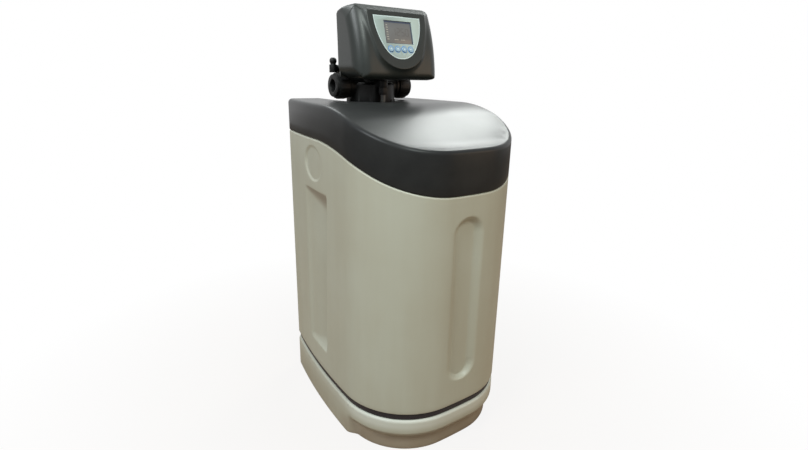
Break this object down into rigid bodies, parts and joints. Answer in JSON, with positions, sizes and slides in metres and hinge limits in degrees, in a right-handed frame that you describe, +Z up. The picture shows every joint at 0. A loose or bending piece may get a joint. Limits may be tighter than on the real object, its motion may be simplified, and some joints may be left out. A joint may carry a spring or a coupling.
{
  "type": "water softener",
  "caption": "Free-standing cabinet water softener with a pull-off salt lid, an inner resin tank and a motor-driven control valve with a display head on the rear deck.",
  "frame": {"origin": "on the floor, under the middle of the cabinet's plan", "axes": "+Z up, the rounded front faces -Y, inlet port on the -X side"},
  "size_m": [0.33, 0.451, 0.785],
  "materials": {
    "cabinet_cream": "satin moulded",
    "trim_dark": "matte",
    "lid_black": "satin",
    "valve_black": "satin",
    "head_black": "fine texture",
    "panel_grey": "printed film",
    "lcd": "clear window over a grey display",
    "button_blue": "satin",
    "board": "solder mask",
    "inner_white": "plain",
    "inner_dark": "plain",
    "tank": "wound glass fibre",
    "resin": "wet beads",
    "seal": "matte",
    "ceramic": "ground ceramic",
    "steel": "plain"
  },
  "bodies": {
    "cabinet": {"cabinet_shell": "cabinet_cream", "base_tray": "cabinet_cream", "trim_strip": "trim_dark", "valve_body": "valve_black", "inlet_union": "valve_black", "outlet_union": "valve_black", "drain_elbow": "valve_black", "drain_nut": "valve_black", "brine_nut": "valve_black", "injector_cap": "valve_black", "disc_gland": "valve_black", "overflow_elbow": "valve_black", "overflow_nut": "valve_black", "brine_tube": "valve_black", "power_socket": "valve_black", "head_cover": "head_black", "back_plate": "head_black", "display_panel": "panel_grey", "lcd_window": "lcd", "lcd_module": "lcd", "circuit_board": "board", "salt_grid": "inner_white", "brine_well": "inner_white", "brine_well_cap": "inner_white", "brine_riser": "inner_white", "float_rod": "inner_white", "riser_tube": "inner_white", "bottom_strainer": "inner_white", "top_strainer": "inner_white", "air_check_cage": "inner_dark", "tank_boot": "inner_dark", "resin_tank": "tank", "resin_bed": "resin", "neck_seal": "seal", "overflow_gasket": "seal", "fixed_disc": "ceramic", "gear_motor": "steel", "plate_screws": "steel"},
    "lid": {"salt_lid": "lid_black"},
    "float": {"brine_float": "inner_white"},
    "impeller": {"flow_impeller": "inner_white"},
    "gear": {"drive_gear": "inner_dark", "moving_disc": "ceramic"},
    "pinion": {"motor_pinion": "inner_white"},
    "button_1": {"button_1": "button_blue"},
    "button_2": {"button_2": "button_blue"},
    "button_3": {"button_3": "button_blue"},
    "button_4": {"button_4": "button_blue"}
  },
  "joints": [
    {"name": "lid_pull", "type": "slide", "parent": "cabinet", "child": "lid", "axis": [0, -1, 0], "range_m": [0, 0.42]},
    {"name": "float_rise", "type": "slide", "parent": "cabinet", "child": "float", "axis": [0, 0, 1], "range_m": [0, 0.06]},
    {"name": "impeller_spin", "type": "hinge", "parent": "cabinet", "child": "impeller", "pos_m": [0.038, 0.11, 0.642], "axis": [1, 0, 0], "continuous": true},
    {"name": "gear_turn", "type": "hinge", "parent": "cabinet", "child": "gear", "pos_m": [0, 0.046, 0.70205], "axis": [0, 1, 0], "continuous": true},
    {"name": "pinion_turn", "type": "hinge", "parent": "cabinet", "child": "pinion", "pos_m": [0.0525, 0.046, 0.70205], "axis": [0, 1, 0], "continuous": true},
    {"name": "press_1", "type": "slide", "parent": "cabinet", "child": "button_1", "axis": [0, 0.9613, -0.2756], "range_m": [0, 0.0012], "stiffness_N_per_m": 300},
    {"name": "press_2", "type": "slide", "parent": "cabinet", "child": "button_2", "axis": [0, 0.9613, -0.2756], "range_m": [0, 0.0012], "stiffness_N_per_m": 300},
    {"name": "press_3", "type": "slide", "parent": "cabinet", "child": "button_3", "axis": [0, 0.9613, -0.2756], "range_m": [0, 0.0012], "stiffness_N_per_m": 300},
    {"name": "press_4", "type": "slide", "parent": "cabinet", "child": "button_4", "axis": [0, 0.9613, -0.2756], "range_m": [0, 0.0012], "stiffness_N_per_m": 300}
  ],
  "couplings": [
    {"joint": "pinion_turn", "follows": "gear_turn", "ratio": -4}
  ]
}
